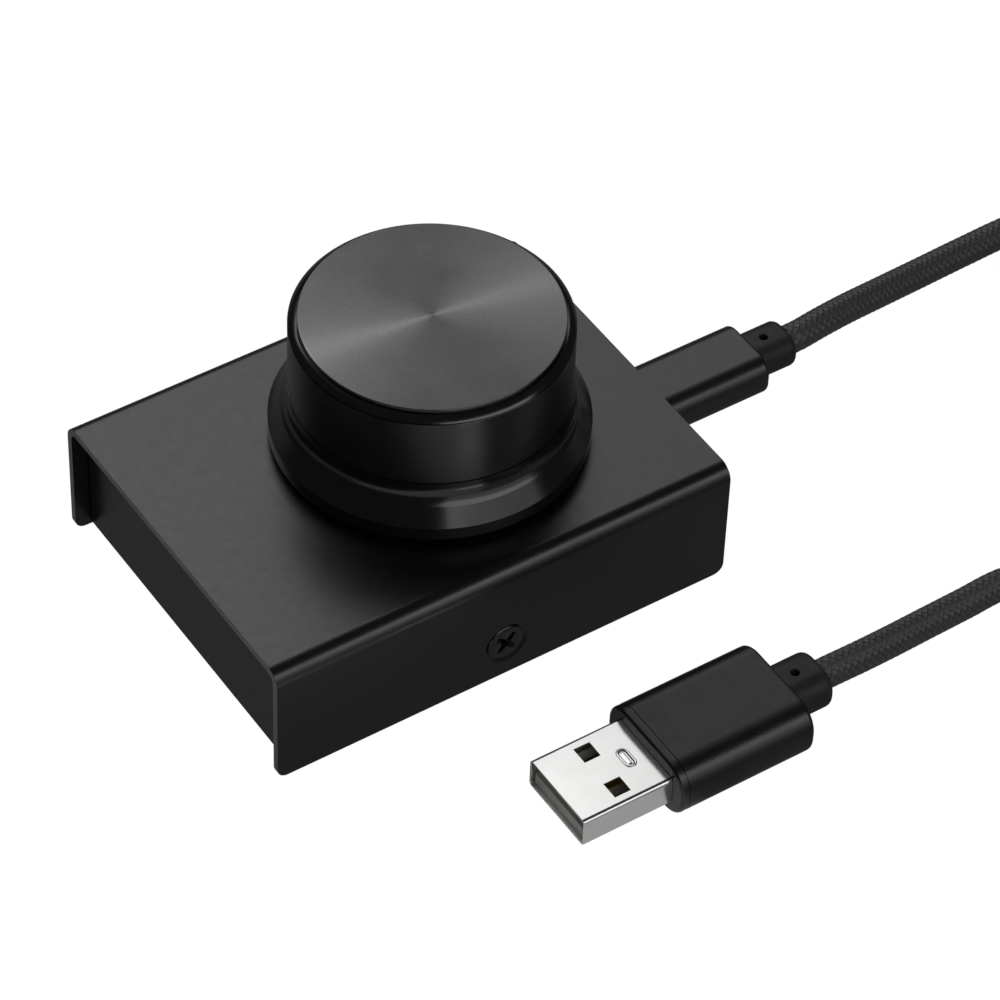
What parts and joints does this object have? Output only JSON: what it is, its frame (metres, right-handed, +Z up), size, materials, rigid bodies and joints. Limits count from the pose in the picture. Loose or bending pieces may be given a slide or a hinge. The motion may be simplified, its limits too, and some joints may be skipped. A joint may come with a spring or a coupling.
{
  "type": "usb volume control knob",
  "caption": "Desk volume control: a turned aluminium knob on a folded sheet-metal case, which turns and presses, with a detachable braided USB cable.",
  "frame": {"origin": "on the table, under the middle of the case", "axes": "+X along the case towards the cable, +Z up out of the top, -Y the long side with the screw that faces the user"},
  "size_m": [0.1778, 0.1008, 0.0395],
  "materials": {
    "case_black": "satin black powder coat, fine texture",
    "tray_black": "satin black powder coat",
    "screw_black": "black zinc",
    "foot_rubber": "matte rubber",
    "zinc_steel": "zinc plate",
    "board_green": "solder mask",
    "chip_plastic": "moulded black",
    "bright_steel": "plain bright",
    "ceramic": "fired",
    "switch_brown": "moulded",
    "white_plastic": "moulded natural",
    "tinned": "tinned",
    "shaft_metal": "turned",
    "knob_anodised": "gloss black anodised, turned",
    "disc_spun": "spun, dark anodised",
    "connector_shell": "nickel plate",
    "plug_anodised": "matt black anodised",
    "relief_rubber": "matte, speckled",
    "cord_braid": "braided nylon",
    "tie_fabric": "hook-and-loop strap",
    "gold_contact": "gold plate"
  },
  "bodies": {
    "case": {"top_cover": "case_black", "base_tray": "tray_black", "cover_screw_front": "screw_black", "cover_screw_back": "screw_black", "foot_front_left": "foot_rubber", "foot_front_right": "foot_rubber", "foot_back_left": "foot_rubber", "foot_back_right": "foot_rubber", "pcb_standoffs": "zinc_steel", "pcb": "board_green", "pcb_screws": "zinc_steel", "controller_chip": "chip_plastic", "crystal_can": "bright_steel", "chip_passives": "ceramic", "usb_socket_shell": "connector_shell", "usb_socket_tongue": "chip_plastic", "switch_case": "switch_brown", "switch_dome": "bright_steel", "encoder_base": "chip_plastic", "encoder_frame": "bright_steel", "encoder_bushing": "bright_steel", "encoder_detent_spring": "bright_steel", "encoder_terminals": "tinned"},
    "dial": {"encoder_rotor": "white_plastic"},
    "knob": {"knob_body": "knob_anodised", "knob_top_disc": "disc_spun", "knob_hub": "white_plastic", "encoder_shaft": "shaft_metal", "shaft_clip": "bright_steel"},
    "plunger": {"switch_plunger": "white_plastic"},
    "cable": {"device_plug_shell": "connector_shell", "device_plug_insert": "chip_plastic", "device_plug_housing": "plug_anodised", "device_strain_relief": "relief_rubber", "cord_device_run": "cord_braid", "cord_coil": "cord_braid", "cord_tie": "tie_fabric", "cord_plug_run": "cord_braid", "a_plug_shell": "connector_shell", "a_plug_tongue": "white_plastic", "a_plug_contacts": "gold_contact", "a_plug_housing": "plug_anodised", "a_strain_relief": "relief_rubber"}
  },
  "joints": [
    {"name": "knob_turn", "type": "hinge", "parent": "case", "child": "dial", "pos_m": [0.005, 0.0005, 0.02], "axis": [0, 0, -1], "continuous": true},
    {"name": "knob_press", "type": "slide", "parent": "dial", "child": "knob", "axis": [0, 0, -1], "range_m": [0, 0.0005], "stiffness_N_per_m": 4000, "springref_m": -0.0005},
    {"name": "plunger_press", "type": "slide", "parent": "case", "child": "plunger", "axis": [0, 0, -1], "range_m": [0, 0.0005], "deforming": ["switch_dome"]},
    {"name": "cable_unplug", "type": "slide", "parent": "case", "child": "cable", "axis": [1, 0, 0], "range_m": [0, 0.008]}
  ],
  "couplings": [
    {"joint": "plunger_press", "follows": "knob_press", "ratio": 1}
  ]
}
